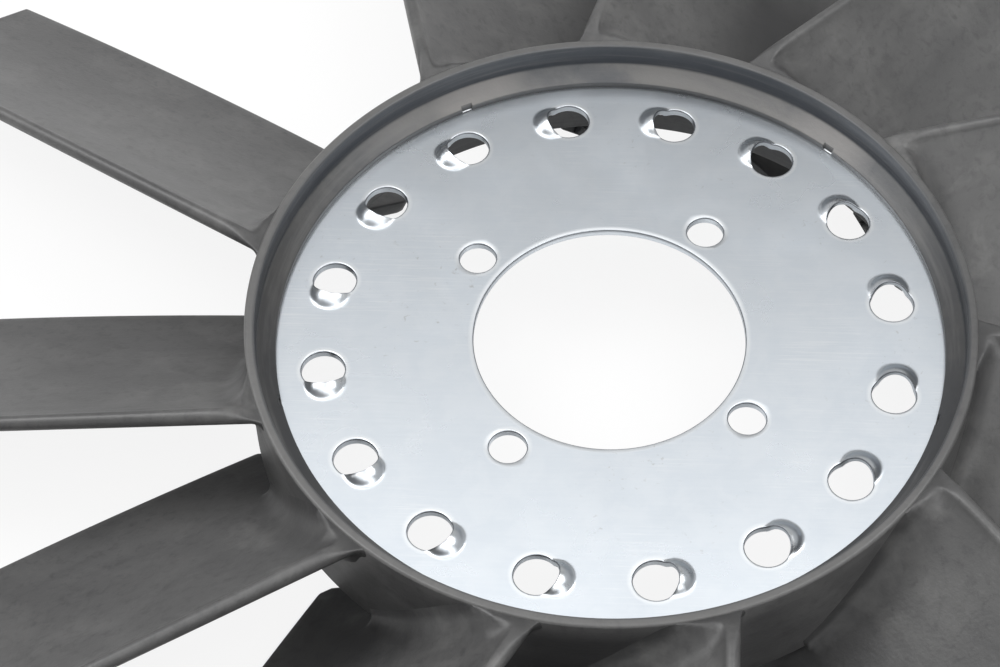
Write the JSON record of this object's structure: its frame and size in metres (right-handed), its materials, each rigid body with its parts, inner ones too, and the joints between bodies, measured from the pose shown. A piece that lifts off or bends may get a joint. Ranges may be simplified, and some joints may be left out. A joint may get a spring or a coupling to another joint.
{
  "type": "axial fan impeller",
  "caption": "Moulded axial fan wheel: pitched blades, unevenly spaced, round a hub ring that grips a pressed steel disc with a bore, bolt holes and hooded vents.",
  "frame": {"origin": "centre of the bore in the front face of the steel disc, the face on the standing rim's side", "axes": "+Z along the fan's axis, towards the standing rim; azimuth 0 along +X lies between two blades at no special feature"},
  "size_m": [0.5064, 0.5102, 0.0553],
  "materials": {
    "plastic": "dark grey moulded plastic, satin, faintly streaked",
    "steel": "pale bluish zinc plate with fine rolling marks and light scratches"
  },
  "bodies": {
    "root": {"moulded_blade_wheel": "plastic", "steel_mounting_disc": "steel"}
  },
  "joints": []
}
